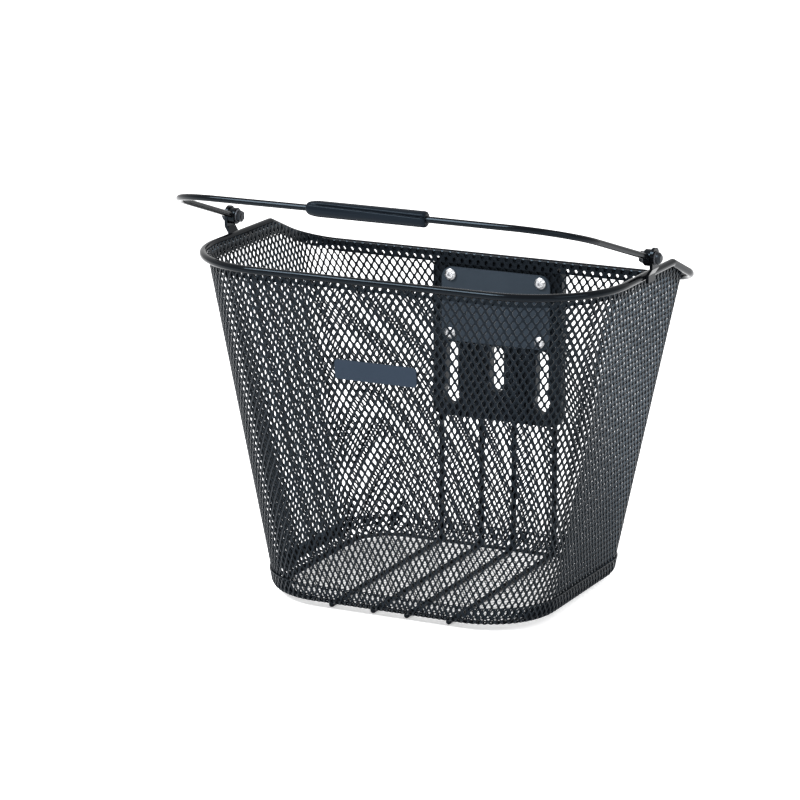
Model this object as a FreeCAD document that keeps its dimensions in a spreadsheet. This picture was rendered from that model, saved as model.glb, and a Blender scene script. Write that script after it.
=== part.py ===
import FreeCAD, Part
import Sketcher
import math
import os
from FreeCAD import Placement, Rotation, Vector

# Handlebar basket: a mesh basket on a wire rim, with a swinging bail handle and a back plate
# that takes a handlebar adapter. X is to the right, +Y to the back, +Z up, in millimetres.
# The basket stands on its four support wires, so their underside is at Z = 0.

os.makedirs("parts", exist_ok=True)
doc = FreeCAD.newDocument("HandlebarBasket")
sheet = doc.addObject("Spreadsheet::Sheet", "Sizes")

# Driving sizes. A "middle" is a centre-line, and "gap" values are the clearances between pieces.
sizes = {
    # rim tube, measured on its centre-line
    "rimWidth": 350.0,
    "rimDepth": 230.0,
    "rimHeight": 270.2,
    "rimDiameter": 6.0,
    "rimFrontRadius": 76.0,
    "rimBackRadius": 30.0,
    "rimDrop": 25.6,
    "earY": 53.0,
    "earRadius": 8.0,
    # mesh sheet, and the wall's outline at the level of the floor
    "meshThickness": 1.2,
    "floorWidth": 236.4,
    "floorFront": 92.6,
    "floorFrontRadius": 55.7,
    "floorBackRadius": 42.7,
    "panFlange": 15.0,
    "panEdgeRadius": 6.0,
    "hemHeight": 9.0,
    "wallRise": 1.5,
    # support wires under the floor and up the back
    "wireDiameter": 4.5,
    "wireOuterX": 50.5,
    "wireInnerX": 14.5,
    "wireInset": 9.0,
    "socketDepth": 12.0,
    # plate outside the back wall: each "drop" is a distance below the plate's top edge
    "plateWidth": 114.0,
    "plateHeight": 131.5,
    "plateThickness": 9.0,
    "plateCorner": 8.0,
    "slotSpacing": 40.2,
    "slotDrop": 69.5,
    "slotWidth": 11.0,
    "slotLength": 52.0,
    "middleSlotWidth": 12.4,
    "middleSlotLength": 38.0,
    "keyholeDiameter": 14.8,
    "keyholeRise": 8.4,
    # clamp plate inside the back wall, with its screws
    "clampWidth": 95.5,
    "clampDrop": 6.5,
    "clampHeight": 61.0,
    "clampThickness": 2.0,
    "clampCorner": 9.0,
    "screwSpanX": 79.6,
    "screwSpanZ": 48.6,
    "screwDiameter": 5.0,
    "screwHeadDiameter": 9.4,
    "screwHeadHeight": 2.8,
    "socketWidth": 3.0,
    "nutWidth": 8.0,
    "nutHeight": 4.0,
    # brackets that carry the bail
    "bracketWidth": 13.0,
    "bracketThickness": 2.5,
    "bracketBelow": 4.0,
    "bracketAbove": 8.0,
    "bracketStep": 3.0,
    "pivotRise": 14.6,
    "pivotY": -1.6,
    "boltDiameter": 5.0,
    "boltHeadDiameter": 9.5,
    "boltHeadHeight": 3.4,
    "washerDiameter": 10.5,
    "washerThickness": 1.0,
    "lockNutHeight": 2.8,
    # bail wire, in its own upright position, and its grip
    "bailDiameter": 5.0,
    "bailTaper": 8.15,
    "bailClear": 24.2,
    "bailCrown": 4.9,
    "bailCornerRadius": 52.0,
    "bailLean": 72.3,
    "eyeDiameter": 13.0,
    "gripLength": 98.0,
    "gripOffset": 8.5,
    "gripWall": 3.7,
    # name plate on the front wall, left blank
    "badgeWidth": 69.0,
    "badgeHeight": 15.5,
    "badgeDrop": 71.2,
    "badgeThickness": 1.4,
    "badgeCorner": 3.0,
    # clearances
    "weldGap": 0.1,
    "screwGap": 0.25,
    "threadGap": 0.05,
    "runningGap": 0.06,
    "swingGap": 0.4,
}


class Size:
    """A number together with the sheet expression that gives it."""

    def __init__(self, number, text):
        self.number = number
        self.text = text

    def join(self, other, sign, number):
        text = other.text if isinstance(other, Size) else repr(float(other))
        return Size(number, "(" + self.text + " " + sign + " " + text + ")")

    def __add__(self, other):
        return self.join(other, "+", self.number + plain(other))

    def __sub__(self, other):
        return self.join(other, "-", self.number - plain(other))

    def __mul__(self, other):
        return self.join(other, "*", self.number * plain(other))

    def __truediv__(self, other):
        return self.join(other, "/", self.number / plain(other))

    def __neg__(self):
        return Size(-self.number, "(0 - " + self.text + ")")


def plain(amount):
    return amount.number if isinstance(amount, Size) else float(amount)


def sine(angle):
    return Size(math.sin(math.radians(angle.number)), "sin(" + angle.text + " * 1 deg)")


class Names:
    pass


s = Names()
for row, (name, number) in enumerate(sizes.items(), start=1):
    sheet.set("A%d" % row, name)
    sheet.set("B%d" % row, repr(number))
    sheet.setAlias("B%d" % row, name)
    setattr(s, name, Size(number, "Sizes." + name))
doc.recompute()

zero = Size(0.0, "0")
gap = s.weldGap
rimRadius = s.rimDiameter / 2
wireRadius = s.wireDiameter / 2
rimInset = (rimRadius + gap) * 1.03
floorZ = s.wireDiameter + gap
pivotZ = s.rimHeight + s.pivotRise
wallBack = s.rimDepth / 2 - rimInset
wallBackInner = wallBack - s.meshThickness
wallBottom = floorZ + s.panEdgeRadius + gap
plateFront = wallBack + gap
plateRear = plateFront + s.plateThickness
clampRear = wallBackInner - gap
clampFront = clampRear - s.clampThickness
wireBackY = wallBack + gap * 2 + s.meshThickness + wireRadius
plateTop = s.rimHeight - s.rimDrop - rimRadius - gap
plateBottom = plateTop - s.plateHeight
slotTop = plateTop - s.slotDrop
slotBottom = slotTop - s.slotLength
keyholeZ = slotBottom + s.keyholeRise
clampTop = plateTop - s.clampDrop
clampBottom = clampTop - s.clampHeight
screwMiddle = clampTop - s.clampHeight / 2
strapInner = s.rimWidth / 2 + rimRadius + gap
bailReach = s.rimDepth / 2 + s.bailClear
gripDiameter = s.bailDiameter + s.gripWall * 2
# The object is centred front to back between the grip and the back plate's rear face.
frontMost = s.pivotY - (bailReach + s.bailCrown) * sine(s.bailLean) - gripDiameter / 2
shiftY = -(frontMost + plateRear) / 2

nodes = []


def newBody(name):
    body = doc.addObject("PartDesign::Body", name)
    body.Label = name
    nodes.append(body)
    return body


def originPlane(body, role):
    for feature in body.Origin.OriginFeatures:
        if feature.Role == role:
            return feature
    raise ValueError("no plane " + role)


def newSketch(body, name, role, offset=None):
    sketch = body.newObject("Sketcher::SketchObject", name)
    sketch.AttachmentSupport = (originPlane(body, role), [""])
    sketch.MapMode = "FlatFace"
    if offset is not None:
        sketch.AttachmentOffset = Placement(Vector(0, 0, offset.number), Rotation())
        sketch.setExpression("AttachmentOffset.Base.z", offset.text)
    return sketch


def bind(sketch, label, size, kind, *where):
    """Adds a dimension of the given kind and ties it to the sheet."""
    index = sketch.addConstraint(Sketcher.Constraint(kind, *where, size.number))
    sketch.renameConstraint(index, label)
    sketch.setExpression("Constraints." + label, size.text)


def bindPoint(sketch, label, geometry, end, x, y):
    """Fixes a point's two coordinates, whichever side of the axes it is on."""
    for tag, kind, size in (("X", "DistanceX", x), ("Y", "DistanceY", y)):
        if abs(size.number) < 1e-9:
            on = -2 if tag == "X" else -1
            sketch.addConstraint(Sketcher.Constraint("PointOnObject", geometry, end, on))
        elif size.number > 0:
            bind(sketch, label + tag, size, kind, -1, 1, geometry, end)
        else:
            bind(sketch, label + tag, -size, kind, geometry, end, -1, 1)


def closedPath(sketch, points):
    """A closed outline of straight lines through points given as pairs of sizes."""
    flat = [Vector(x.number, y.number, 0) for x, y in points]
    count = len(flat)
    first = sketch.GeometryCount
    for index in range(count):
        sketch.addGeometry(Part.LineSegment(flat[index], flat[(index + 1) % count]), False)
    for index in range(count):
        following = first + (index + 1) % count
        joint = Sketcher.Constraint("Coincident", first + index, 2, following, 1)
        sketch.addConstraint(joint)
    for index in range(count):
        label = "p%d_%d" % (first, index)
        bindPoint(sketch, label, first + index, 1, points[index][0], points[index][1])


def roundedOutline(sketch, half, low, high, lowRadius, highRadius, middle=zero):
    """A rectangle with rounded corners, from low to high in the sketch's second direction."""
    cx = middle.number
    h = half.number
    y0 = low.number
    y1 = high.number
    r0 = lowRadius.number
    r1 = highRadius.number

    def arc(x, y, radius, start):
        circle = Part.Circle(Vector(x, y, 0), Vector(0, 0, 1), radius)
        return Part.ArcOfCircle(circle, math.radians(start), math.radians(start + 90))

    def line(xa, ya, xb, yb):
        return Part.LineSegment(Vector(xa, ya, 0), Vector(xb, yb, 0))

    first = sketch.GeometryCount
    sketch.addGeometry(line(cx - h + r0, y0, cx + h - r0, y0), False)
    sketch.addGeometry(arc(cx + h - r0, y0 + r0, r0, -90), False)
    sketch.addGeometry(line(cx + h, y0 + r0, cx + h, y1 - r1), False)
    sketch.addGeometry(arc(cx + h - r1, y1 - r1, r1, 0), False)
    sketch.addGeometry(line(cx + h - r1, y1, cx - h + r1, y1), False)
    sketch.addGeometry(arc(cx - h + r1, y1 - r1, r1, 90), False)
    sketch.addGeometry(line(cx - h, y1 - r1, cx - h, y0 + r0), False)
    sketch.addGeometry(arc(cx - h + r0, y0 + r0, r0, 180), False)
    for index in range(8):
        following = first + (index + 1) % 8
        sketch.addConstraint(Sketcher.Constraint("Tangent", first + index, 2, following, 1))
    for index in (0, 4):
        sketch.addConstraint(Sketcher.Constraint("Horizontal", first + index))
    for index in (2, 6):
        sketch.addConstraint(Sketcher.Constraint("Vertical", first + index))
    sketch.addConstraint(Sketcher.Constraint("Equal", first + 1, first + 7))
    sketch.addConstraint(Sketcher.Constraint("Equal", first + 3, first + 5))
    bind(sketch, "lowRadius%d" % first, lowRadius, "Radius", first + 1)
    bind(sketch, "highRadius%d" % first, highRadius, "Radius", first + 3)
    right = middle + half
    left = middle - half
    for label, size, geometry in (("right", right, 2), ("left", left, 6)):
        name = label + str(first)
        if size.number > 0:
            bind(sketch, name, size, "DistanceX", -1, 1, first + geometry, 1)
        else:
            bind(sketch, name, -size, "DistanceX", first + geometry, 1, -1, 1)
    for label, size, geometry in (("low", low, 0), ("high", high, 4)):
        name = label + str(first)
        if size.number > 0:
            bind(sketch, name, size, "DistanceY", -1, 1, first + geometry, 1)
        else:
            bind(sketch, name, -size, "DistanceY", first + geometry, 1, -1, 1)


def circleAt(sketch, x, y, diameter):
    index = sketch.addGeometry(
        Part.Circle(Vector(x.number, y.number, 0), Vector(0, 0, 1), diameter.number / 2), False
    )
    bind(sketch, "diameter%d" % index, diameter, "Diameter", index)
    bindPoint(sketch, "centre%d" % index, index, 3, x, y)


def slotOutline(sketch, x, low, high, width):
    """An upright slot with round ends, from low to high over its ends."""
    r = width.number / 2
    a = low.number + r
    b = high.number - r
    cx = x.number
    top = Part.Circle(Vector(cx, b, 0), Vector(0, 0, 1), r)
    bottom = Part.Circle(Vector(cx, a, 0), Vector(0, 0, 1), r)
    first = sketch.GeometryCount
    sketch.addGeometry(Part.LineSegment(Vector(cx + r, a, 0), Vector(cx + r, b, 0)), False)
    sketch.addGeometry(Part.ArcOfCircle(top, 0, math.pi), False)
    sketch.addGeometry(Part.LineSegment(Vector(cx - r, b, 0), Vector(cx - r, a, 0)), False)
    sketch.addGeometry(Part.ArcOfCircle(bottom, math.pi, 2 * math.pi), False)
    for index in range(4):
        following = first + (index + 1) % 4
        sketch.addConstraint(Sketcher.Constraint("Tangent", first + index, 2, following, 1))
    sketch.addConstraint(Sketcher.Constraint("Vertical", first))
    bind(sketch, "slotRadius%d" % first, width / 2, "Radius", first + 1)
    bindPoint(sketch, "slotTop%d" % first, first + 1, 3, x, high - width / 2)
    bind(sketch, "slotLow%d" % first, low + width / 2, "DistanceY", -1, 1, first + 3, 3)


def pad(body, name, sketch, length, middle=False, reverse=False):
    feature = body.newObject("PartDesign::Pad", name)
    feature.Profile = sketch
    feature.setExpression("Length", length.text)
    feature.Length = length.number
    feature.Midplane = middle
    feature.Reversed = reverse
    return feature


def pocketThrough(body, name, sketch, length):
    """Cuts the outline right through, on both sides of its plane."""
    feature = body.newObject("PartDesign::Pocket", name)
    feature.Profile = sketch
    feature.Midplane = True
    feature.Length = length.number
    feature.setExpression("Length", length.text)
    return feature


def loft(body, kind, name, sketches):
    feature = body.newObject("PartDesign::" + kind, name)
    feature.Profile = sketches[0]
    feature.Sections = sketches[1:]
    feature.Ruled = True
    return feature


def turned(body, name, sketch):
    """Revolves an outline in the XZ plane about the upright axis."""
    feature = body.newObject("PartDesign::Revolution", name)
    feature.Profile = sketch
    feature.ReferenceAxis = (sketch, ["V_Axis"])
    feature.Angle = 360
    return feature


def place(body, x=zero, y=zero, z=zero, axis=None, angle=None):
    """Every piece is placed from the sheet, and all of them share the same shift along Y."""
    back = shiftY + y
    turn = Rotation() if axis is None else Rotation(axis, plain(angle))
    body.Placement = Placement(Vector(x.number, back.number, z.number), turn)
    if axis is not None and isinstance(angle, Size):
        body.setExpression("Placement.Rotation.Angle", angle.text)
    body.setExpression("Placement.Base.x", x.text)
    body.setExpression("Placement.Base.y", back.text)
    body.setExpression("Placement.Base.z", z.text)


def between(z, atFloor, atRim):
    """A wall size at height z: it changes evenly from the floor up to the rim."""
    share = (z - floorZ) / (s.rimHeight - floorZ)
    return atFloor + (atRim - atFloor) * share


def wallOutline(body, name, z, inset):
    """The basket wall's plan at height z, moved inwards by inset."""
    sketch = newSketch(body, name, "XY_Plane", z)
    half = between(z, s.floorWidth / 2, s.rimWidth / 2 - rimInset) - inset
    front = between(z, -s.floorFront, rimInset - s.rimDepth / 2) + inset
    frontRadius = between(z, s.floorFrontRadius, s.rimFrontRadius - rimInset) - inset
    backRadius = between(z, s.floorBackRadius, s.rimBackRadius - rimInset) - inset
    roundedOutline(sketch, half, front, wallBack - inset, frontRadius, backRadius)
    return sketch


def wallSleeve(body, low, high, outer, inner):
    """A tapering sleeve between two insets of the wall's outline."""
    outside = [wallOutline(body, "OuterLow", low, outer), wallOutline(body, "OuterHigh", high, outer)]
    loft(body, "AdditiveLoft", "Outside", outside)
    inside = [wallOutline(body, "InnerLow", low, inner), wallOutline(body, "InnerHigh", high, inner)]
    loft(body, "SubtractiveLoft", "Inside", inside)


def cutBeside(body, name, rise, away):
    """Cuts along the rim's side view: level to the back corners, then sloping down to the back.
    Away is how far above (or, if negative, below) the line the cut reaches."""
    sketch = newSketch(body, name + "Profile", "YZ_Plane")
    level = s.rimHeight + rise
    reach = s.rimDepth / 2 + 40
    low = level - s.rimDrop * (reach - s.earY) / (s.rimDepth / 2 - s.earY)
    front = -s.rimDepth
    far = level + away
    if away.number > 0:
        points = [(front, level), (s.earY, level), (reach, low), (reach, far), (front, far)]
    else:
        deep = low + away
        points = [(front, level), (front, deep), (reach, deep), (reach, low), (s.earY, level)]
    closedPath(sketch, points)
    pocketThrough(body, name, sketch, s.rimWidth * 2)


# --- rim: one tube, level at the front and sides, and lower along the back edge
def rimShape():
    """Half of the tube is swept along its centre-line and then mirrored."""
    w = s.rimWidth.number / 2
    d = s.rimDepth.number / 2
    z = s.rimHeight.number
    rf = s.rimFrontRadius.number
    rb = s.rimBackRadius.number
    ear = s.earY.number
    tilt = math.atan2(s.rimDrop.number, d - ear)
    bend = s.earRadius.number * math.tan(tilt / 2)
    side = Vector(w, ear - bend, z)
    start = Vector(w, ear + bend * math.cos(tilt), z - bend * math.sin(tilt))
    half = tilt / 2
    dip = s.earRadius.number * (1 - math.cos(half))
    middle = Vector(w, ear - bend + s.earRadius.number * math.sin(half), z - dip)
    downhill = Vector(0, math.cos(tilt), -math.sin(tilt)) / math.cos(tilt)
    cornerStart = Vector(w, ear, z) + downhill * (d - rb - ear)
    centre = cornerStart - Vector(rb, 0, 0)
    along = downhill * rb
    corner = centre + along
    frontCentre = Vector(w - rf, -d + rf, z)
    frontMiddle = frontCentre + Vector(rf * math.sin(math.pi / 4), -rf * math.sin(math.pi / 4), 0)
    # The corner is round in plan, so in the sloping plane it is an ellipse.
    ellipse = Part.Ellipse(centre + along, centre + Vector(rb, 0, 0), centre)
    edges = [
        Part.LineSegment(Vector(0, -d, z), Vector(w - rf, -d, z)).toShape(),
        Part.Arc(Vector(w - rf, -d, z), frontMiddle, Vector(w, -d + rf, z)).toShape(),
        Part.LineSegment(Vector(w, -d + rf, z), side).toShape(),
        Part.Arc(side, middle, start).toShape(),
        Part.LineSegment(start, cornerStart).toShape(),
        Part.ArcOfEllipse(ellipse, 0, math.pi / 2).toShape(),
        Part.LineSegment(corner, Vector(0, corner.y, corner.z)).toShape(),
    ]
    path = Part.Wire(Part.__sortEdges__(edges))
    ring = Part.makeCircle(rimRadius.number, Vector(0, -d, z), Vector(1, 0, 0))
    tube = path.makePipeShell([Part.Wire([ring])], True, False)
    return tube.fuse(tube.mirror(Vector(0, 0, 0), Vector(1, 0, 0)))


rim = doc.addObject("Part::Feature", "rim_tube")
rim.Label = "rim_tube"
rim.Shape = rimShape()
rim.setExpression("Placement.Base.y", shiftY.text)
nodes.append(rim)

# --- mesh wall: one wrapped sheet, with holes for the screws and the adapter's slots
wall = newBody("mesh_wall")
wallSleeve(wall, wallBottom, s.rimHeight + s.wallRise, zero, s.meshThickness)
cutBeside(wall, "LowerBack", s.wallRise, s.rimHeight / 4)
place(wall)

slotPlaces = (
    (-s.slotSpacing, s.slotWidth, slotBottom),
    (zero, s.middleSlotWidth, slotTop - s.middleSlotLength),
    (s.slotSpacing, s.slotWidth, slotBottom),
)
screwPlaces = []
for sideways in (-1, 1):
    for upward in (-1, 1):
        x = s.screwSpanX * (sideways / 2)
        screwPlaces.append((x, screwMiddle + s.screwSpanZ * (upward / 2)))


def slotsThrough(body, middleY, length, extra):
    """The adapter's three slots, cut along Y through a sheet or plate centred on middleY."""
    sketch = newSketch(body, "SlotProfiles", "XZ_Plane", -middleY)
    for x, width, bottom in slotPlaces:
        slotOutline(sketch, x, bottom - extra, slotTop + extra, width + extra * 2)
    pocketThrough(body, "Slots", sketch, length)


def screwHolesThrough(body, middleY, length):
    sketch = newSketch(body, "ScrewHoleProfiles", "XZ_Plane", -middleY)
    for x, z in screwPlaces:
        circleAt(sketch, x, z, s.screwDiameter + s.screwGap * 2)
    pocketThrough(body, "ScrewHoles", sketch, length)


wallMiddleY = wallBack - s.meshThickness / 2
slotsThrough(wall, wallMiddleY, s.meshThickness * 3, s.meshThickness)
screwHolesThrough(wall, wallMiddleY, s.meshThickness * 3)

# --- edge strip: the folded strip of mesh inside the wall's top edge
hem = newBody("hem_band")
hemLow = s.rimHeight + s.wallRise - s.rimDrop - s.hemHeight * 2
hemOuter = s.meshThickness + gap
wallSleeve(hem, hemLow, s.rimHeight + s.wallRise, hemOuter, hemOuter + s.meshThickness)
cutBeside(hem, "LowerBack", s.wallRise, s.rimHeight / 4)
cutBeside(hem, "Underside", s.wallRise - s.hemHeight, -s.rimHeight / 4)
place(hem)

# --- floor: a mesh tray whose rim stands outside the wall's lower edge
tray = newBody("mesh_floor")
trayInner = -gap
trayOuter = -(gap + s.meshThickness)
trayTop = floorZ + s.panFlange
outside = [
    wallOutline(tray, "OuterLow", floorZ, trayOuter),
    wallOutline(tray, "OuterHigh", trayTop, trayOuter),
]
loft(tray, "AdditiveLoft", "Outside", outside)
inside = [
    wallOutline(tray, "InnerLow", floorZ + s.meshThickness, trayInner),
    wallOutline(tray, "InnerHigh", trayTop + gap, trayInner),
]
loft(tray, "SubtractiveLoft", "Inside", inside)
doc.recompute()


def edgesAt(shape, z):
    """Names of the edges that lie level at height z."""
    found = []
    for index, edge in enumerate(shape.Edges, start=1):
        box = edge.BoundBox
        if abs(box.ZMin - z) < 0.01 and abs(box.ZMax - z) < 0.01:
            found.append("Edge%d" % index)
    return found


def roundEdges(body, name, names, radius):
    base = body.Tip
    fillet = body.newObject("PartDesign::Fillet", name)
    fillet.Base = (base, names)
    fillet.Radius = radius.number
    fillet.setExpression("Radius", radius.text)
    return fillet


roundEdges(tray, "LowerEdge", edgesAt(tray.Tip.Shape, floorZ.number), s.panEdgeRadius)
doc.recompute()
innerEdges = edgesAt(tray.Tip.Shape, (floorZ + s.meshThickness).number)
roundEdges(tray, "InnerEdge", innerEdges, s.panEdgeRadius - s.meshThickness)
place(tray)

# --- support wires: under the floor, then up the back into the back plate
def sweep(body, name, pathSketch, ringSketch):
    pipe = body.newObject("PartDesign::AdditivePipe", name)
    pipe.Profile = ringSketch
    pipe.Spine = pathSketch
    return pipe


def supportWire(name, x):
    body = newBody(name)
    path = newSketch(body, "Path", "YZ_Plane", x)
    frontY = meshFront + s.wireInset
    bend = s.panEdgeRadius + wireRadius
    top = plateBottom + s.socketDepth - gap * 5
    start = Vector(frontY.number, wireRadius.number, 0)
    toBend = Vector((wireBackY - bend).number, wireRadius.number, 0)
    fromBend = Vector(wireBackY.number, (wireRadius + bend).number, 0)
    end = Vector(wireBackY.number, top.number, 0)
    centre = Vector((wireBackY - bend).number, (wireRadius + bend).number, 0)
    corner = Part.Circle(centre, Vector(0, 0, 1), bend.number)
    path.addGeometry(Part.LineSegment(start, toBend), False)
    path.addGeometry(Part.ArcOfCircle(corner, -math.pi / 2, 0), False)
    path.addGeometry(Part.LineSegment(fromBend, end), False)
    path.addConstraint(Sketcher.Constraint("Tangent", 0, 2, 1, 1))
    path.addConstraint(Sketcher.Constraint("Tangent", 1, 2, 2, 1))
    path.addConstraint(Sketcher.Constraint("Horizontal", 0))
    path.addConstraint(Sketcher.Constraint("Vertical", 2))
    bind(path, "bend", bend, "Radius", 1)
    bindPoint(path, "start", 0, 1, frontY, wireRadius)
    bindPoint(path, "end", 2, 2, wireBackY, top)
    ring = newSketch(body, "Ring", "XZ_Plane", -frontY)
    circleAt(ring, x, wireRadius, s.wireDiameter)
    sweep(body, "Wire", path, ring)
    doc.recompute()
    nose = []
    for index, edge in enumerate(body.Tip.Shape.Edges, start=1):
        if abs(edge.BoundBox.YMax - frontY.number) < 0.01:
            nose.append("Edge%d" % index)
    roundEdges(body, "Nose", nose, wireRadius * 0.6)
    place(body)


meshFront = -s.floorFront + trayOuter
supportWire("support_wire_1", -s.wireOuterX)
supportWire("support_wire_2", -s.wireInnerX)
supportWire("support_wire_3", s.wireInnerX)
supportWire("support_wire_4", s.wireOuterX)

# --- back plate: takes the handlebar adapter on its rear face
plate = newBody("adapter_plate")
outline = newSketch(plate, "Outline", "XZ_Plane", -plateFront)
halfPlate = s.plateWidth / 2
roundedOutline(outline, halfPlate, plateBottom, plateTop, s.plateCorner, s.plateCorner)
pad(plate, "Block", outline, s.plateThickness, reverse=True)
plateMiddle = plateFront + s.plateThickness / 2
slotsThrough(plate, plateMiddle, s.plateThickness * 2, zero)
keys = newSketch(plate, "KeyholeProfiles", "XZ_Plane", -plateMiddle)
circleAt(keys, -s.slotSpacing, keyholeZ, s.keyholeDiameter)
circleAt(keys, s.slotSpacing, keyholeZ, s.keyholeDiameter)
pocketThrough(plate, "Keyholes", keys, s.plateThickness * 2)
screwHolesThrough(plate, plateMiddle, s.plateThickness * 2)
recess = newSketch(plate, "NutRecessProfiles", "XZ_Plane", -plateRear)
for x, z in screwPlaces:
    circleAt(recess, x, z, s.nutWidth * 1.1547 + s.screwGap * 4)
recessDepth = s.nutHeight + gap * 5
recessCut = pocketThrough(plate, "NutRecesses", recess, recessDepth * 2)
sockets = newSketch(plate, "WireSocketProfiles", "XY_Plane", plateBottom)
for x in (-s.wireOuterX, -s.wireInnerX, s.wireInnerX, s.wireOuterX):
    circleAt(sockets, x, wireBackY, s.wireDiameter + gap * 2)
pocketThrough(plate, "WireSockets", sockets, s.socketDepth * 2)
place(plate)

# --- clamp plate inside the wall, and the screws that hold the two plates together
clamp = newBody("clamp_plate")
face = newSketch(clamp, "Outline", "XZ_Plane", -clampRear)
roundedOutline(face, s.clampWidth / 2, clampBottom, clampTop, s.clampCorner * 0.7, s.clampCorner)
pad(clamp, "Sheet", face, s.clampThickness)
screwHolesThrough(clamp, clampRear - s.clampThickness / 2, s.clampThickness * 3)
place(clamp)

tipFacing = Vector(1, 0, 0)


def screw(name, x, z):
    """A round-headed screw with a hex socket: its head is inside and its tip points back."""
    body = newBody(name)
    length = plateRear - clampFront
    head = s.screwHeadDiameter / 2
    shank = s.screwDiameter / 2
    profile = newSketch(body, "Profile", "XZ_Plane")
    lip = s.screwHeadHeight * 0.45
    crown = head * 0.62
    points = [
        (zero, -s.screwHeadHeight),
        (crown, -s.screwHeadHeight),
        (head, -lip),
        (head, zero),
        (shank, zero),
        (shank, length - gap * 5),
        (zero, length - gap * 5),
    ]
    closedPath(profile, points)
    turned(body, "Turned", profile)
    socket = newSketch(body, "SocketProfile", "XY_Plane", -s.screwHeadHeight)
    hexagon(socket, s.socketWidth)
    pocketThrough(body, "Socket", socket, s.screwHeadHeight * 1.2)
    place(body, x, clampFront - gap, z, tipFacing, -90.0)


def hexagon(sketch, acrossFlats):
    """A hexagon centred on the sketch's origin, with two flats level."""
    corner = acrossFlats / math.sqrt(3)
    flat = acrossFlats / 2
    points = [
        (corner, zero),
        (corner / 2, flat),
        (-corner / 2, flat),
        (-corner, zero),
        (-corner / 2, -flat),
        (corner / 2, -flat),
    ]
    closedPath(sketch, points)


def hexNut(name, width, height, bore, x, y, z, axis, angle):
    body = newBody(name)
    sketch = newSketch(body, "Hexagon", "XY_Plane")
    hexagon(sketch, width)
    circleAt(sketch, zero, zero, bore)
    pad(body, "Nut", sketch, height)
    place(body, x, y, z, axis, angle)


nutBore = s.screwDiameter + s.threadGap * 2
for index, (x, z) in enumerate(screwPlaces, start=1):
    screw("plate_screw_%d" % index, x, z)
    seat = plateRear - recessDepth + gap
    hexNut("plate_nut_%d" % index, s.nutWidth, s.nutHeight, nutBore, x, seat, z, tipFacing, -90.0)

# --- brackets: straps welded outside the rim tube, stepped out to carry the bail
strapStep = strapInner + s.bracketStep
lowEnd = s.rimHeight - s.bracketBelow
stepLow = s.rimHeight + rimRadius * 0.6
stepHigh = stepLow + s.bracketStep * 1.6
highEnd = pivotZ + s.bracketAbove
eyeThickness = s.bailDiameter + gap * 3
pivotX = strapStep - s.swingGap - eyeThickness / 2


def strap(name, side):
    """The strap's profile is drawn in XZ and given its width along Y."""
    body = newBody(name)
    thick = s.bracketThickness
    line = [
        (strapInner, lowEnd),
        (strapInner + thick, lowEnd),
        (strapInner + thick, stepLow),
        (strapStep + thick, stepHigh),
        (strapStep + thick, highEnd),
        (strapStep, highEnd),
        (strapStep, stepHigh),
        (strapInner, stepLow),
    ]
    profile = newSketch(body, "Profile", "XZ_Plane")
    closedPath(profile, [(x * side, z) for x, z in line])
    pad(body, "Strap", profile, s.bracketWidth, middle=True)
    doc.recompute()
    corners = []
    for index, edge in enumerate(body.Tip.Shape.Edges, start=1):
        box = edge.BoundBox
        if box.YLength < 0.01 and box.ZLength < 0.01:
            if abs(box.ZMin - highEnd.number) < 0.01:
                corners.append("Edge%d" % index)
    roundEdges(body, "RoundTop", corners, s.bracketWidth * 0.48)
    hole = newSketch(body, "BoltHoleProfile", "YZ_Plane", strapStep * side)
    circleAt(hole, zero, pivotZ, s.boltDiameter + s.screwGap * 2)
    pocketThrough(body, "BoltHole", hole, s.bracketThickness * 3)
    place(body, zero, s.pivotY, zero)


# The pivot's stack along X, from outside to inside.
outerFace = strapStep + s.bracketThickness + gap
headFace = outerFace + s.washerThickness + gap
innerFace = strapStep - s.swingGap * 2 - eyeThickness
nutFace = innerFace - s.washerThickness - gap
boltLength = headFace - nutFace + s.lockNutHeight + gap * 4
acrossX = Vector(0, 1, 0)


def pivotBolt(name, side):
    body = newBody(name)
    profile = newSketch(body, "Profile", "XZ_Plane")
    head = s.boltHeadDiameter / 2
    shank = s.boltDiameter / 2
    points = [
        (zero, s.boltHeadHeight),
        (head * 0.6, s.boltHeadHeight),
        (head, s.boltHeadHeight * 0.45),
        (head, zero),
        (shank, zero),
        (shank, -boltLength),
        (zero, -boltLength),
    ]
    closedPath(profile, points)
    turned(body, "Turned", profile)
    place(body, headFace * side, s.pivotY, pivotZ, acrossX, 90.0 * side)


def washer(name, side, face):
    """A plain washer whose inner face is at the given distance from the middle."""
    body = newBody(name)
    sketch = newSketch(body, "Rings", "XY_Plane")
    circleAt(sketch, zero, zero, s.washerDiameter)
    circleAt(sketch, zero, zero, s.boltDiameter + s.screwGap * 2)
    pad(body, "Disc", sketch, s.washerThickness)
    place(body, face * side, s.pivotY, pivotZ, acrossX, 90.0 * side)


boltBore = s.boltDiameter + s.threadGap * 2
for label, side in (("left", -1.0), ("right", 1.0)):
    strap("bracket_" + label, side)
    pivotBolt("pivot_bolt_" + label, side)
    washer("outer_washer_" + label, side, outerFace)
    washer("inner_washer_" + label, side, innerFace - s.washerThickness)
    nutAt = (nutFace - s.lockNutHeight) * side
    name = "pivot_nut_" + label
    turn = 90.0 * side
    hexNut(name, s.nutWidth, s.lockNutHeight, boltBore, nutAt, s.pivotY, pivotZ, acrossX, turn)

# --- bail: drawn upright with its pivots on the X axis, then leaned forward
bail = newBody("bail_wire")
path = newSketch(bail, "Path", "XZ_Plane")


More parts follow.
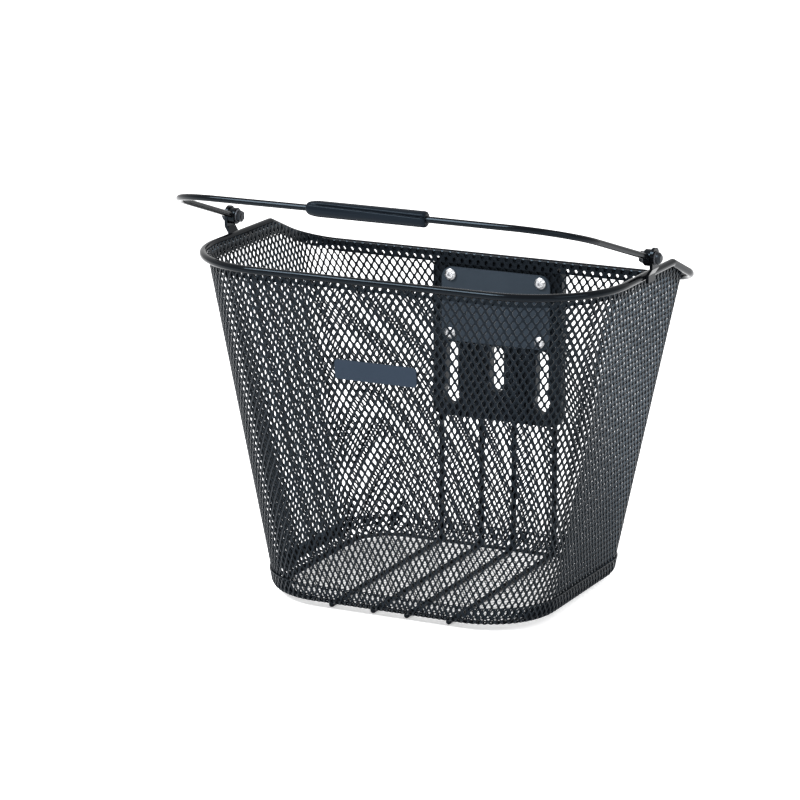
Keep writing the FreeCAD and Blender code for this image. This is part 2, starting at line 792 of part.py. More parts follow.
def bailPath(sketch):
    """Arms, rounded corners and a slightly crowned crossbar, each joined smoothly."""
    a = Vector(pivotX.number, eyeEdge.number, 0)
    half = topHalf.number
    corner = Vector(half, bailReach.number, 0)
    crown = crownZ.number
    # The crossbar is a wide arc through the corner's line and the crown.
    wide = (half ** 2 + s.bailCrown.number ** 2) / (2 * s.bailCrown.number)
    centre = Vector(0, crown - wide, 0)
    r = s.bailCornerRadius.number
    arm = (corner - a).normalize()
    inward = Vector(-arm.y, arm.x, 0)
    # The corner's centre is r inside the arm's line and r inside the wide arc.
    base = a + inward * r - centre
    behind = base.dot(arm)
    reach = -behind + math.sqrt(behind * behind - base.dot(base) + (wide - r) ** 2)
    cornerCentre = centre + base + arm * reach
    touchArm = cornerCentre - inward * r
    touchBar = centre + (cornerCentre - centre).normalize() * wide
    ends = [a, touchArm, touchBar]
    mirrored = [Vector(-p.x, p.y, 0) for p in ends]
    otherCentre = Vector(-cornerCentre.x, cornerCentre.y, 0)

    def arcBetween(middle, radius, first, last):
        circle = Part.Circle(middle, Vector(0, 0, 1), radius)
        begin = math.atan2(first.y - middle.y, first.x - middle.x)
        finish = math.atan2(last.y - middle.y, last.x - middle.x)
        return Part.ArcOfCircle(circle, begin, finish)

    sketch.addGeometry(Part.LineSegment(a, touchArm), False)
    sketch.addGeometry(arcBetween(cornerCentre, r, touchArm, touchBar), False)
    sketch.addGeometry(arcBetween(centre, wide, touchBar, mirrored[2]), False)
    sketch.addGeometry(arcBetween(otherCentre, r, mirrored[2], mirrored[1]), False)
    sketch.addGeometry(Part.LineSegment(mirrored[1], mirrored[0]), False)
    for index in range(4):
        sketch.addConstraint(Sketcher.Constraint("Tangent", index, 2, index + 1, 1))
    sketch.addConstraint(Sketcher.Constraint("PointOnObject", 2, 3, -2))
    sketch.addConstraint(Sketcher.Constraint("Equal", 1, 3))
    bind(sketch, "corner", s.bailCornerRadius, "Radius", 1)
    bindPoint(sketch, "right", 0, 1, pivotX, eyeEdge)
    bindPoint(sketch, "left", 4, 2, -pivotX, eyeEdge)


eyeEdge = s.eyeDiameter / 2 - s.bailDiameter * 0.3
topHalf = pivotX - s.bailTaper
crownZ = bailReach + s.bailCrown
bailPath(path)
ring = newSketch(bail, "Ring", "XY_Plane", eyeEdge)
circleAt(ring, pivotX, zero, s.bailDiameter)
sweep(bail, "Wire", path, ring)
for label, side in (("Right", 1.0), ("Left", -1.0)):
    eye = newSketch(bail, label + "EyeProfile", "YZ_Plane", pivotX * side)
    circleAt(eye, zero, zero, s.eyeDiameter)
    pad(bail, label + "Eye", eye, eyeThickness, middle=True)
bore = newSketch(bail, "EyeBoreProfile", "YZ_Plane")
circleAt(bore, zero, zero, s.boltDiameter + s.runningGap * 2)
pocketThrough(bail, "EyeBores", bore, pivotX * 3)
leanAxis = Vector(1, 0, 0)
place(bail, zero, s.pivotY, pivotZ, leanAxis, s.bailLean)

# --- grip: a sleeve over the crossbar, a little to the right of its middle
grip = newBody("grip")
# The crossbar's crown makes it sag by this much at the grip's end further from the middle.
gripEnd = s.gripLength / 2 + s.gripOffset
gripSag = gripEnd * gripEnd * s.bailCrown / (topHalf * topHalf + s.bailCrown * s.bailCrown)
gripMiddle = crownZ - gripSag / 2
tube = newSketch(grip, "Section", "YZ_Plane", s.gripOffset)
circleAt(tube, zero, gripMiddle, gripDiameter)
circleAt(tube, zero, gripMiddle, s.bailDiameter + gripSag + gap * 2)
pad(grip, "Sleeve", tube, s.gripLength, middle=True)
doc.recompute()
ends = []
for index, edge in enumerate(grip.Tip.Shape.Edges, start=1):
    if edge.BoundBox.XLength < 0.01 and edge.BoundBox.ZLength > gripDiameter.number * 0.9:
        ends.append("Edge%d" % index)
roundEdges(grip, "EndRounds", ends, s.gripWall * 0.8)
place(grip, zero, s.pivotY, pivotZ, leanAxis, s.bailLean)

# --- badge: a blank plate on the front wall, leaning with it
badge = newBody("badge")
card = newSketch(badge, "Outline", "XZ_Plane")
halfBadge = s.badgeHeight / 2
roundedOutline(card, s.badgeWidth / 2, -halfBadge, halfBadge, s.badgeCorner, s.badgeCorner)
pad(badge, "Plate", card, s.badgeThickness)
frontRise = s.rimHeight - floorZ
frontRun = s.rimDepth / 2 - rimInset - s.floorFront
frontLean = math.degrees(math.atan2(frontRun.number, frontRise.number))
leanText = "atan(" + frontRun.text + " / " + frontRise.text + ")"
badgeMiddle = s.rimHeight - s.badgeDrop
badgeY = between(badgeMiddle, -s.floorFront, rimInset - s.rimDepth / 2) - gap
place(badge, zero, badgeY, badgeMiddle, leanAxis, Size(frontLean, leanText))

doc.recompute()
for item in doc.Objects:
    if "Invalid" in item.State or "Error" in item.State:
        raise ValueError(item.Label + " did not build: " + str(item.State))
for item in nodes:
    if item.Shape.isNull() or not item.Shape.isValid():
        raise ValueError(item.Label + " has no valid shape")
    if len(item.Shape.Solids) != 1:
        raise ValueError(item.Label + " is not one solid")
for item in nodes:
    item.Shape.exportStep("parts/" + item.Label + ".step")
print("wrote", len(nodes), "pieces")
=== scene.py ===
import math
import bmesh
import bpy
import numpy as np
from mathutils import Matrix, Vector


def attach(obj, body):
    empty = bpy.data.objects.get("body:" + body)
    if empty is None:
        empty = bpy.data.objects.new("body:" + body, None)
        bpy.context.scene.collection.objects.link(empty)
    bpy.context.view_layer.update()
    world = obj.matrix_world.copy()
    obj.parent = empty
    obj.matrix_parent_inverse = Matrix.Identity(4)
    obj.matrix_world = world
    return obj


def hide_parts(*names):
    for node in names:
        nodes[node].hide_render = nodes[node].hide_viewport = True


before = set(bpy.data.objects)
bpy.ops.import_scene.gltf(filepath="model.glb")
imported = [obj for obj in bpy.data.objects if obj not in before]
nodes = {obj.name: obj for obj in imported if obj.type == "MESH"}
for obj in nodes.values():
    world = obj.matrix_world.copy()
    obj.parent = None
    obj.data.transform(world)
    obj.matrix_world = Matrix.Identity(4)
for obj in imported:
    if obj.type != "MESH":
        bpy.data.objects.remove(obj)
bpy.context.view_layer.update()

# the wall's plan at the floor and at the rim, and its top edge, in metres
basket = dict(
    shift=0.012086,                 # how far the rim's middle stands behind the origin
    floorZ=0.0046, rimZ=0.2702,     # heights of the floor's underside and the rim's middle
    floorHalf=0.1182, rimHalf=0.171807,                         # half widths
    floorFront=0.0926, rimFront=0.111807, back=0.111807,        # distances from the rim's middle
    floorFrontRadius=0.0557, rimFrontRadius=0.072807,           # corner radii
    floorBackRadius=0.0427, rimBackRadius=0.026807,
    earY=0.053, drop=0.0256, earRun=0.062,      # where the top edge starts to fall, how far and over what
    sheet=0.0012, rise=0.0003,      # the sheet's thickness, and its top edge above the rim's middle
)


# a socket that can be added, multiplied and so on
class Sum:
    def __init__(self, look, socket):
        self.look = look
        self.socket = socket

    def joined(self, kind, first, second):
        made = self.look.node("ShaderNodeMath", {"operation": kind})
        self.look.feed(made.inputs[0], first)
        self.look.feed(made.inputs[1], second)
        return Sum(self.look, made.outputs[0])

    def __add__(self, other):
        return self.joined("ADD", self, other)

    def __radd__(self, other):
        return self.joined("ADD", other, self)

    def __mul__(self, other):
        return self.joined("MULTIPLY", self, other)

    def __rmul__(self, other):
        return self.joined("MULTIPLY", other, self)


# a material with one shader, whose other nodes are all made by node()
class Look:
    def __init__(self, name, colour, roughness, metallic=0.0, gleam=0.12, tint=(0.58, 0.80, 1.0)):
        self.material = bpy.data.materials.new(name)
        self.material.use_nodes = True
        self.tree = self.material.node_tree
        self.shader = self.tree.nodes["Principled BSDF"]
        self.shader.inputs["Base Color"].default_value = (*colour, 1)
        self.shader.inputs["Roughness"].default_value = roughness
        self.shader.inputs["Metallic"].default_value = metallic
        self.shader.inputs["Specular Tint"].default_value = (*tint, 1)
        self.shader.inputs["Specular IOR Level"].default_value = gleam
        self.place = self.node("ShaderNodeTexCoord").outputs["Object"]

    def node(self, kind, settings=None, **sockets):
        made = self.tree.nodes.new(kind)
        for key, value in (settings or {}).items():
            setattr(made, key, value)
        for key, value in sockets.items():
            self.feed(made.inputs[key.replace("_", " ")], value)
        return made

    def feed(self, socket, value):
        if isinstance(value, Sum):
            value = value.socket
        if isinstance(value, bpy.types.NodeSocket):
            self.tree.links.new(value, socket)
        else:
            socket.default_value = value

    def noise(self, scale, detail=3.0):
        made = self.node("ShaderNodeTexNoise", Vector=self.place, Scale=scale, Detail=detail)
        return Sum(self, made.outputs["Fac"])

    def mix(self, share, first, second):
        made = self.node("ShaderNodeMix", {"data_type": "RGBA"})
        self.feed(made.inputs["Factor"], share)
        self.feed(made.inputs["A"], (*first, 1) if isinstance(first, tuple) else first)
        self.feed(made.inputs["B"], (*second, 1) if isinstance(second, tuple) else second)
        return made.outputs["Result"]

    def colour(self, value):
        self.feed(self.shader.inputs["Base Color"], value)

    def roughness(self, value):
        self.feed(self.shader.inputs["Roughness"], value)

    def bump(self, height, strength, distance):
        made = self.node("ShaderNodeBump", Strength=strength, Distance=distance)
        self.feed(made.inputs["Height"], height)
        self.feed(self.shader.inputs["Normal"], made.outputs["Normal"])


print("stage: materials")
# in each finish: vary is how much the roughness changes, cloud and grain are noise scales
gloss = dict(tone=(0.0025, 0.0027, 0.0034), gleam=0.10, rough=0.09, vary=0.06, cloud=55.0,
             grain=900.0, grainBump=0.05, grainDepth=0.0002)


def glossBlack(name):
    g = gloss
    look = Look(name, g["tone"], g["rough"], gleam=g["gleam"])
    look.roughness(g["rough"] + look.noise(g["cloud"]) * g["vary"])
    look.bump(look.noise(g["grain"], 1.0), g["grainBump"], g["grainDepth"])
    return look.material


satin = dict(tone=(0.0030, 0.0037, 0.0050), pale=1.35, gleam=0.13, rough=0.27, vary=0.14, cloud=42.0,
             grain=1400.0, grainBump=0.12, grainDepth=0.0002)


def meshBlack(name):
    g = satin
    look = Look(name, g["tone"], g["rough"], gleam=g["gleam"])
    cloud = look.noise(g["cloud"])
    look.colour(look.mix(cloud, g["tone"], scaled(g["tone"], g["pale"])))
    look.roughness(g["rough"] + cloud * g["vary"])
    look.bump(look.noise(g["grain"], 2.0), g["grainBump"], g["grainDepth"])
    return look.material


moulded = dict(dark=0.88, pale=1.12, vary=0.08, cloud=30.0, grainBump=0.10, grainDepth=0.00015)


def plastic(name, tone, rough, grain, gleam=0.14):
    g = moulded
    look = Look(name, tone, rough, gleam=gleam)
    cloud = look.noise(g["cloud"])
    look.colour(look.mix(cloud, scaled(tone, g["dark"]), scaled(tone, g["pale"])))
    look.roughness(rough - g["vary"] / 2 + cloud * g["vary"])
    look.bump(look.noise(grain, 2.0), g["grainBump"], g["grainDepth"])
    return look.material


zinc = dict(tone=(0.66, 0.67, 0.69), dark=0.86, gleam=0.5, rough=0.20, vary=0.16, cloud=350.0)


def zincPlate(name):
    g = zinc
    look = Look(name, g["tone"], g["rough"], metallic=1.0, gleam=g["gleam"], tint=(1, 1, 1))
    cloud = look.noise(g["cloud"])
    look.roughness(g["rough"] + cloud * g["vary"])
    look.colour(look.mix(cloud, g["tone"], scaled(g["tone"], g["dark"])))
    return look.material


def scaled(tone, factor):
    return tuple(part * factor for part in tone)


boltTone = (0.012, 0.0125, 0.014)
rimLook = glossBlack("glossBlack")
meshLook = meshBlack("meshBlack")
zincLook = zincPlate("zincPlate")
plateLook = plastic("platePlastic", (0.0035, 0.0038, 0.0045), 0.5, 900.0)
clampLook = plastic("clampPlastic", (0.022, 0.029, 0.038), 0.42, 1200.0)
gripLook = plastic("gripPlastic", (0.0045, 0.0065, 0.0095), 0.26, 1300.0, 0.06)
badgeLook = plastic("badgeFace", (0.013, 0.019, 0.030), 0.38, 1500.0)
boltLook = plastic("blackPlated", boltTone, 0.30, 800.0)
washerLook = plastic("darkSteel", scaled(boltTone, 5), 0.28, 700.0)


def dress(looks):
    for name, look in looks.items():
        nodes[name].data.materials.clear()
        nodes[name].data.materials.append(look)


dress({"rim_tube": rimLook, "bail_wire": rimLook, "bracket_left": rimLook, "bracket_right": rimLook,
       "adapter_plate": plateLook, "clamp_plate": clampLook, "badge": badgeLook,
       "mesh_wall": meshLook, "hem_band": meshLook, "mesh_floor": meshLook, "grip": gripLook})
dress({"support_wire_%d" % i: rimLook for i in range(1, 5)})
dress({"plate_screw_%d" % i: zincLook for i in range(1, 5)})
dress({"plate_nut_%d" % i: zincLook for i in range(1, 5)})
for side in ("left", "right"):
    dress({"pivot_bolt_" + side: boltLook, "outer_washer_" + side: washerLook,
           "inner_washer_" + side: washerLook, "pivot_nut_" + side: boltLook})


def blend(a, b, share):
    return a + (b - a) * share


# the basket's plan at any height, where a place round it is counted in columns of the mesh
class Outline:
    def __init__(self, columns, samples=4000, share=0.6):
        self.columns = columns
        params = np.linspace(0.0, 8.0, samples)
        x, y, nx, ny = self.point(params, np.full(samples, share), 0.0)
        steps = np.hypot(np.diff(x), np.diff(y))
        length = np.concatenate([[0.0], np.cumsum(steps)])
        self.params = params
        self.atColumn = length / length[-1] * columns

    def point(self, param, share, inset):
        b = basket
        half = blend(b["floorHalf"], b["rimHalf"], share) - inset
        front = -blend(b["floorFront"], b["rimFront"], share) + inset
        rf = blend(b["floorFrontRadius"], b["rimFrontRadius"], share) - inset
        rb = blend(b["floorBackRadius"], b["rimBackRadius"], share) - inset
        back = b["back"] - inset
        part = np.clip(np.floor(param), 0, 7).astype(int)
        f = param - part
        quarter = f * math.pi / 2
        # parts in order: back edge, left corner, left side, front left corner, front, and so on
        lineStart = {0: (half - rb, back), 2: (-half, back - rb),
                     4: (-half + rf, front), 6: (half, front + rf)}
        lineEnd = {0: (-half + rb, back), 2: (-half, front + rf),
                   4: (half - rf, front), 6: (half, back - rb)}
        corner = {1: (-half + rb, back - rb, rb, 0.5), 3: (-half + rf, front + rf, rf, 1.0),
                  5: (half - rf, front + rf, rf, 1.5), 7: (half - rb, back - rb, rb, 0.0)}
        facing = {0: (0, 1), 2: (-1, 0), 4: (0, -1), 6: (1, 0)}
        x = np.zeros_like(param)
        y = np.zeros_like(param)
        nx = np.zeros_like(param)
        ny = np.zeros_like(param)
        for k in range(8):
            here = part == k
            if k % 2 == 0:
                (xa, ya), (xb, yb) = lineStart[k], lineEnd[k]
                x = np.where(here, blend(xa, xb, f), x)
                y = np.where(here, blend(ya, yb, f), y)
                nx = np.where(here, facing[k][0], nx)
                ny = np.where(here, facing[k][1], ny)
            else:
                cx, cy, r, turn = corner[k]
                angle = turn * math.pi + quarter
                x = np.where(here, cx + r * np.cos(angle), x)
                y = np.where(here, cy + r * np.sin(angle), y)
                nx = np.where(here, np.cos(angle), nx)
                ny = np.where(here, np.sin(angle), ny)
        return x, y, nx, ny

    # world place and outward direction for mesh columns at height z
    def at(self, column, z, inset):
        column = np.mod(column, self.columns)
        param = np.interp(column, self.atColumn, self.params)
        share = (z - basket["floorZ"]) / (basket["rimZ"] - basket["floorZ"])
        x, y, nx, ny = self.point(param, share, inset)
        return x, y + basket["shift"], nx, ny


weave = dict(columns=156, rows=27,          # diamonds round the wall and up it
             pitchX=0.0064, pitchY=0.00967,
             strand=0.00064,                # half the width of a strand
             round=0.0011, twist=0.00030, thickness=0.0011,
             seam=0.25,                     # where strips meet, in columns
             openArea=3e-6)                 # a larger middle than this is an opening
outline = Outline(weave["columns"])


# a flat strip of expanded mesh: diamonds cut from a grid, each with an open middle
# x counts columns and y counts rows, both times the pitch
def flatWeave(firstColumn, lastColumn, rows, strand):
    px, py = weave["pitchX"], weave["pitchY"]
    columns = lastColumn - firstColumn + 1
    bm = bmesh.new()
    bmesh.ops.create_grid(bm, x_segments=columns, y_segments=rows, size=0.5)
    bmesh.ops.scale(bm, vec=(columns * px, rows * py, 1.0), verts=bm.verts)
    middle = ((firstColumn - 1 + columns / 2) * px, rows * py / 2, 0.0)
    bmesh.ops.translate(bm, vec=middle, verts=bm.verts)
    crossing = [e for e in bm.edges if len(e.link_faces) == 2]
    bmesh.ops.poke(bm, faces=bm.faces[:])
    bmesh.ops.dissolve_edges(bm, edges=crossing, use_verts=False)
    # the strip keeps whole diamonds only at its sides, so that strips meet without a seam
    low = (firstColumn - weave["seam"]) * px
    high = (lastColumn - weave["seam"]) * px
    outside = [f for f in bm.faces if not low < f.calc_center_median().x < high]
    bmesh.ops.delete(bm, geom=outside, context="FACES")
    middles = bm.faces.layers.int.new("middle")
    cells = bm.faces[:]
    bmesh.ops.inset_individual(bm, faces=cells, thickness=strand, use_even_offset=True)
    for face in bm.faces:
        face[middles] = 0
    for cell in cells:
        cell[middles] = 1
        centre = cell.calc_center_median()
        for vert in cell.verts:
            vert.co.z = (vert.co.y - centre.y) / (py / 2) * weave["twist"]
    corners = list({v for cell in cells for v in cell.verts})
    bmesh.ops.bevel(bm, geom=corners, offset=weave["round"], offset_type="OFFSET", segments=1,
                    profile=0.5, affect="VERTICES", clamp_overlap=True, material=-1)
    opened = [f for f in bm.faces if f[middles] == 1 and f.calc_area() > weave["openArea"]]
    bmesh.ops.delete(bm, geom=opened, context="FACES")
    return bm


# moves every vertex of a flat strip to its place on a surface
def lay(bm, mapping):
    flat = np.array([v.co for v in bm.verts])
    placed = mapping(flat[:, 0] / weave["pitchX"], flat[:, 1] / weave["pitchY"], flat[:, 2])
    for vert, co in zip(bm.verts, placed):
        vert.co = co


def finishMesh(name, bm, look, thickness=None, smooth=False):
    bmesh.ops.recalc_face_normals(bm, faces=bm.faces[:])
    data = bpy.data.meshes.new(name)
    bm.to_mesh(data)
    bm.free()
    made = bpy.data.objects.new(name, data)
    bpy.context.scene.collection.objects.link(made)
    data.materials.append(look)
    if thickness:
        wall = made.modifiers.new("thickness", "SOLIDIFY")
        wall.thickness = thickness
        wall.offset = 0.0
    if smooth:
        for face in data.polygons:
            face.use_smooth = True
    return made


# height of the strip's lower edge at depth y: level, then falling towards the back
def rimLine(y, below):
    b = basket
    level = b["rimZ"] + b["rise"] - below
    ear = b["earY"] + b["shift"]
    return np.where(y > ear, level - (y - ear) * b["drop"] / b["earRun"], level)


# cuts the mesh off along the top edge, once for its level part and once for its slope
def trimTop(bm):
    b = basket
    level = b["rimZ"] + b["rise"]
    slope = b["drop"] / b["earRun"]
    start = (0.0, b["earY"] + b["shift"], level)
    for normal in ((0, 0, 1), Vector((0, slope, 1)).normalized()):
        geom = bm.verts[:] + bm.edges[:] + bm.faces[:]
        bmesh.ops.bisect_plane(bm, geom=geom, plane_co=start, plane_no=normal, clear_outer=True)


print("stage: mesh wall")
wall = dict(bottom=0.0107, top=0.2717, inset=0.0006, panels=4)


def wallPlace(u, v, out):
    z = wall["bottom"] + v * (wall["top"] - wall["bottom"]) / weave["rows"]
    x, y, nx, ny = outline.at(u, z, wall["inset"])
    return np.column_stack([x + nx * out, y + ny * out, z])


# the backWall value tells back cells from front ones, and besideX and besideZ limit the cuts
slots = dict(spacing=0.0402, half=0.0067, middleHalf=0.0074, top=0.1732, bottom=0.1188,
             middleBottom=0.1328, backWall=0.12, besideX=0.014, besideZ=0.012)


# opens the back wall behind the adapter's slots
def slotCut(bm):
    g = slots
    places = ((-g["spacing"], g["half"], g["bottom"]),
              (0.0, g["middleHalf"], g["middleBottom"]),
              (g["spacing"], g["half"], g["bottom"]))
    for middle, half, low in places:
        high = g["top"]
        for co, no in (((middle - half, 0, 0), (1, 0, 0)), ((middle + half, 0, 0), (1, 0, 0)),
                       ((0, 0, low), (0, 0, 1)), ((0, 0, high), (0, 0, 1))):
            near = [f for f in bm.faces if f.calc_center_median().y > g["backWall"]
                    and abs(f.calc_center_median().x - middle) < g["besideX"]
                    and low - g["besideZ"] < f.calc_center_median().z < high + g["besideZ"]]
            lines = list({e for f in near for e in f.edges})
            geom = near + lines + list({v for f in near for v in f.verts})
            bmesh.ops.bisect_plane(bm, geom=geom, plane_co=co, plane_no=no)
        inside = []
        for f in bm.faces:
            c = f.calc_center_median()
            if c.y > g["backWall"] and abs(c.x - middle) < half and low < c.z < high:
                inside.append(f)
        bmesh.ops.delete(bm, geom=inside, context="FACES")


perPanel = weave["columns"] // wall["panels"]
wallPanels = []
for index in range(wall["panels"]):
    bm = flatWeave(index * perPanel, (index + 1) * perPanel, weave["rows"], weave["strand"])
    lay(bm, wallPlace)
    trimTop(bm)
    slotCut(bm)
    panel = finishMesh("meshPanel%d" % (index + 1), bm, meshLook, weave["thickness"])
    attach(panel, "basket")
    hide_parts("mesh_wall")
    wallPanels.append(panel)
print("faces", sum(len(p.data.polygons) for p in wallPanels))

print("stage: edge strip")
hem = dict(strand=0.00105, height=0.009, inset=0.0019, bottom=0.2260, rows=5, shift=0.5)


def hemPlace(u, v, out):
    z = hem["bottom"] + v * weave["pitchY"]
    x, y, nx, ny = outline.at(u + hem["shift"], z, hem["inset"])
    return np.column_stack([x + nx * out, y + ny * out, z])


# removes what is below the strip's lower edge, which follows the top edge
def trimUnder(bm):
    b = basket
    slope = b["drop"] / b["earRun"]
    start = (0.0, b["earY"] + b["shift"], b["rimZ"] + b["rise"] - hem["height"])
    for normal in ((0, 0, 1), Vector((0, slope, 1)).normalized()):
        geom = bm.verts[:] + bm.edges[:] + bm.faces[:]
        bmesh.ops.bisect_plane(bm, geom=geom, plane_co=start, plane_no=normal)
    below = []
    for f in bm.faces:
        c = f.calc_center_median()
        if c.z < rimLine(c.y, hem["height"]):
            below.append(f)
    bmesh.ops.delete(bm, geom=below, context="FACES")


bm = flatWeave(0, weave["columns"], hem["rows"], hem["strand"])
lay(bm, hemPlace)
trimTop(bm)
trimUnder(bm)
edgeStrip = finishMesh("edgeStrip", bm, meshLook, weave["thickness"])
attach(edgeStrip, "basket")
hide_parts("hem_band")

print("stage: floor")
floor = dict(lip=0.006, bendRadius=0.0054, flange=0.015, edgeRows=3, outset=0.0007,
             columns=42, rows=24, strand=0.00042, thickness=0.0003,
             clip=0.004,            # how far the flat mesh stops short of the wall
             lift=0.0016)           # and how far it stands above the floor's underside


# the tray's edge: a flat lip, a rounded corner, and a flange that leans with the wall
def trayPlace(u, v, out):
    f = floor
    r = f["bendRadius"]
    arc = r * math.pi / 2
    up = f["flange"] - r - basket["sheet"] / 2
    run = v / f["edgeRows"] * (f["lip"] + arc + up)
    turn = np.clip((run - f["lip"]) / r, 0.0, math.pi / 2)
    climb = np.clip(run - f["lip"] - arc, 0.0, None)
    flat = np.clip(f["lip"] - run, 0.0, None)
    inset = -f["outset"] + r * (1 - np.sin(turn)) + flat
    z = basket["floorZ"] + basket["sheet"] / 2 + r * (1 - np.cos(turn)) + climb
    x, y, nx, ny = outline.at(u + weave["seam"], z, inset)
    side = np.sin(turn) * out
    return np.column_stack([x + nx * side, y + ny * side, z - np.cos(turn) * out])


bm = flatWeave(0, weave["columns"], floor["edgeRows"], weave["strand"])
lay(bm, trayPlace)
trayEdge = finishMesh("trayEdge", bm, meshLook, weave["thickness"])

bm = flatWeave(0, floor["columns"], floor["rows"], floor["strand"])
centring = (-floor["columns"] / 2 * weave["pitchX"], -floor["rows"] / 2 * weave["pitchY"], 0.0)
bmesh.ops.translate(bm, vec=centring, verts=bm.verts)
half = basket["floorHalf"] - floor["clip"]
front, back = -basket["floorFront"] + floor["clip"], basket["back"] - floor["clip"]
far = []
for f in bm.faces:
    c = f.calc_center_median()
    rf = basket["floorFrontRadius"] if c.y < 0 else basket["floorBackRadius"]
    dx = abs(c.x) - (half - rf)
    dy = abs(c.y) - ((back - front) / 2 - rf)
    if max(dx, dy) > rf or (dx > 0 and dy > 0 and math.hypot(dx, dy) > rf):
        far.append(f)
bmesh.ops.delete(bm, geom=far, context="FACES")
floorMiddle = (basket["back"] - basket["floorFront"]) / 2 + basket["shift"]
bmesh.ops.translate(bm, vec=(0, floorMiddle, basket["floorZ"] + floor["lift"]), verts=bm.verts)
floorMesh = finishMesh("floorMesh", bm, meshLook, floor["thickness"])
for piece in (trayEdge, floorMesh):
    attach(piece, "basket")
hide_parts("mesh_floor")
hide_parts("mesh_floor")

print("stage: grip")
grip = dict(length=0.098, offset=0.0085, radius=0.0062, around=96,
            crown=0.1435, bow=2.948,        # height over the pivots, and the crossbar's own radius
            lean=72.3, pivot=(0.0, 0.010486, 0.2848),
            groove=0.0019, grooveStart=62.0, grooveEnd=82.0,    # depth, and its turn in degrees
            wide=0.10, lip=0.0003, lipFrom=0.30,    # its width and its lip's place, in radians
            smoothEnd=-0.43)                # the left end has no groove before this share of the length


# a sleeve drawn upright over the crossbar, then leaned with the bail
def makeGrip():
    g = grip
    # where along the sleeve each ring is, and its height and depth as shares of the radius
    rings = [(-0.500, 0.50, 0.55), (-0.497, 0.66, 0.70), (-0.488, 0.76, 0.80), (-0.470, 0.84, 0.88),
             (-0.440, 0.93, 0.96), (-0.405, 1.00, 1.00), (-0.30, 1.0, 1.0), (-0.20, 1.0, 1.0),
             (-0.10, 1.0, 1.0), (0.0, 1.0, 1.0), (0.10, 1.0, 1.0), (0.20, 1.0, 1.0), (0.30, 1.0, 1.0),
             (0.40, 1.0, 1.0), (0.475, 1.0, 1.0), (0.490, 0.96, 0.96), (0.497, 0.85, 0.85),
             (0.500, 0.66, 0.66)]
    bm = bmesh.new()
    start = bmesh.ops.create_circle(bm, cap_ends=False, radius=g["radius"], segments=g["around"])
    ringVerts = start["verts"]
    bmesh.ops.rotate(bm, verts=ringVerts, cent=(0, 0, 0), matrix=Matrix.Rotation(math.pi / 2, 3, "Y"))
    edges = list({e for v in ringVerts for e in v.link_edges})
    bmesh.ops.translate(bm, verts=ringVerts, vec=(rings[0][0] * g["length"] + g["offset"], 0, 0))
    loops = [ringVerts]
    for last, here in zip(rings, rings[1:]):
        grown = bmesh.ops.extrude_edge_only(bm, edges=edges)
        ringVerts = [e for e in grown["geom"] if isinstance(e, bmesh.types.BMVert)]
        edges = [e for e in grown["geom"] if isinstance(e, bmesh.types.BMEdge)
                 and all(v in ringVerts for v in e.verts)]
        bmesh.ops.translate(bm, verts=ringVerts, vec=((here[0] - last[0]) * g["length"], 0, 0))
        loops.append(ringVerts)
    for (along, high, deep), loop in zip(rings, loops):
        for v in loop:
            angle = math.atan2(v.co.z, v.co.y)
            # the parting groove runs along the side that faces forward once the bail leans
            middle = math.radians(blend(g["grooveStart"], g["grooveEnd"], along + 0.5))
            away = math.atan2(math.sin(angle - middle), math.cos(angle - middle))
            depth = g["groove"] * math.exp(-(away / g["wide"]) ** 2)
            depth -= g["lip"] * math.exp(-((away - g["lipFrom"]) / g["wide"]) ** 2)
            push = 1 - (depth if along > g["smoothEnd"] else 0.0) / g["radius"]
            v.co.y *= push
            v.co.z *= push
            low = v.co.z < 0
            v.co.z *= (high if low else blend(high, 1.0, 0.55))
            v.co.y *= deep
            v.co.z -= v.co.x ** 2 / (2 * g["bow"])
    for loop in (loops[0], loops[-1]):
        bmesh.ops.contextual_create(bm, geom=loop)
    lean = Matrix.Rotation(math.radians(g["lean"]), 3, "X")
    bmesh.ops.translate(bm, verts=bm.verts, vec=(0, 0, g["crown"]))
    bmesh.ops.rotate(bm, verts=bm.verts, cent=(0, 0, 0), matrix=lean)
    bmesh.ops.translate(bm, verts=bm.verts, vec=g["pivot"])
    return finishMesh("gripSleeve", bm, gripLook, smooth=True)


sleeve = makeGrip()
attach(sleeve, "bail")
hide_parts("grip")

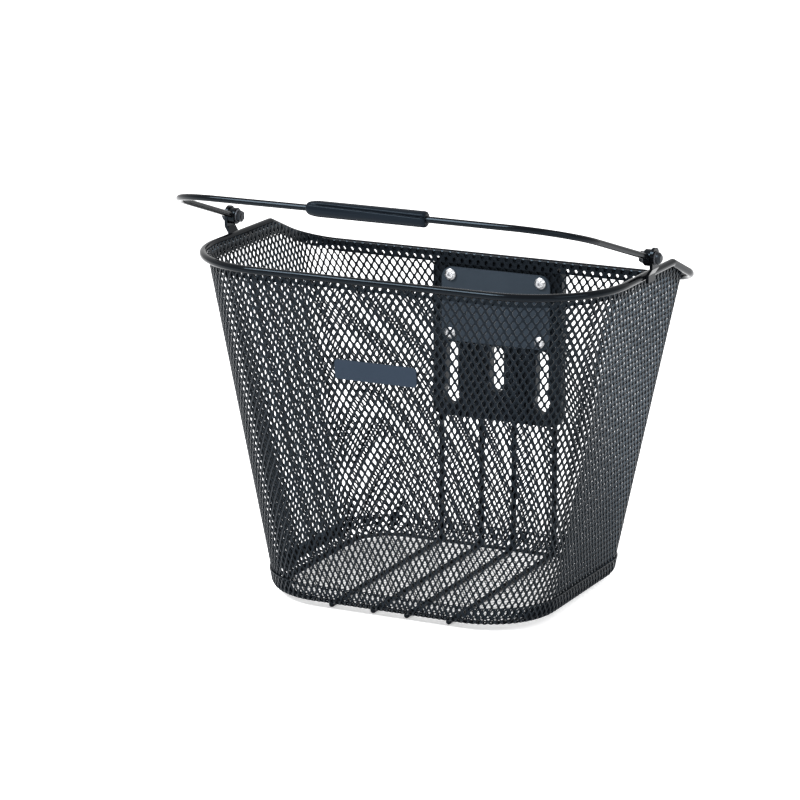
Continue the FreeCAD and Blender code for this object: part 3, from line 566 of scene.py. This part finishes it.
print("stage: light and camera")
bpy.context.scene.view_settings.view_transform = "Standard"
studio = dict(eye=(1.23935, -2.57842, 0.89082), target=(-0.041734, 0.031503, 0.144056), lens=170.218,
              sensor=36.0, farthest=50.0, world=1.0,
              floorSize=6.0, floorTone=(0.93, 0.93, 0.935), floorGlow=0.45,
              keyAt=(-1.2, -1.6, 2.4), keySize=1.2, key=140.0,
              fillAt=(2.2, -0.8, 1.6), fillSize=1.6, fill=22.0,
              lightsOn=(0, 0, 0.15))        # the point that both lights face

bm = bmesh.new()
bmesh.ops.create_grid(bm, x_segments=1, y_segments=1, size=studio["floorSize"])
floorLook = Look("paleFloor", studio["floorTone"], 0.9)
floorLook.shader.inputs["Emission Color"].default_value = (1, 1, 1, 1)
floorLook.shader.inputs["Emission Strength"].default_value = studio["floorGlow"]
ground = finishMesh("ground", bm, floorLook.material)

world = bpy.data.worlds.new("studio")
bpy.context.scene.world = world
world.use_nodes = True
world.node_tree.nodes["Background"].inputs["Color"].default_value = (1, 1, 1, 1)
world.node_tree.nodes["Background"].inputs["Strength"].default_value = studio["world"]


def softLight(name, place, size, power):
    lamp = bpy.data.lights.new(name, "AREA")
    lamp.energy = power
    lamp.shape = "SQUARE"
    lamp.size = size
    made = bpy.data.objects.new(name, lamp)
    made.location = place
    facing = Vector(studio["lightsOn"]) - Vector(place)
    made.rotation_euler = facing.to_track_quat("-Z", "Y").to_euler()
    bpy.context.scene.collection.objects.link(made)


softLight("keyLight", studio["keyAt"], studio["keySize"], studio["key"])
softLight("fillLight", studio["fillAt"], studio["fillSize"], studio["fill"])

lens = bpy.data.cameras.new("camera")
lens.lens = studio["lens"]
lens.sensor_width = studio["sensor"]
lens.clip_end = studio["farthest"]
camera = bpy.data.objects.new("camera", lens)
camera.location = studio["eye"]
aim = Vector(studio["target"]) - Vector(studio["eye"])
camera.rotation_euler = aim.to_track_quat("-Z", "Y").to_euler()
bpy.context.scene.collection.objects.link(camera)
bpy.context.scene.camera = camera
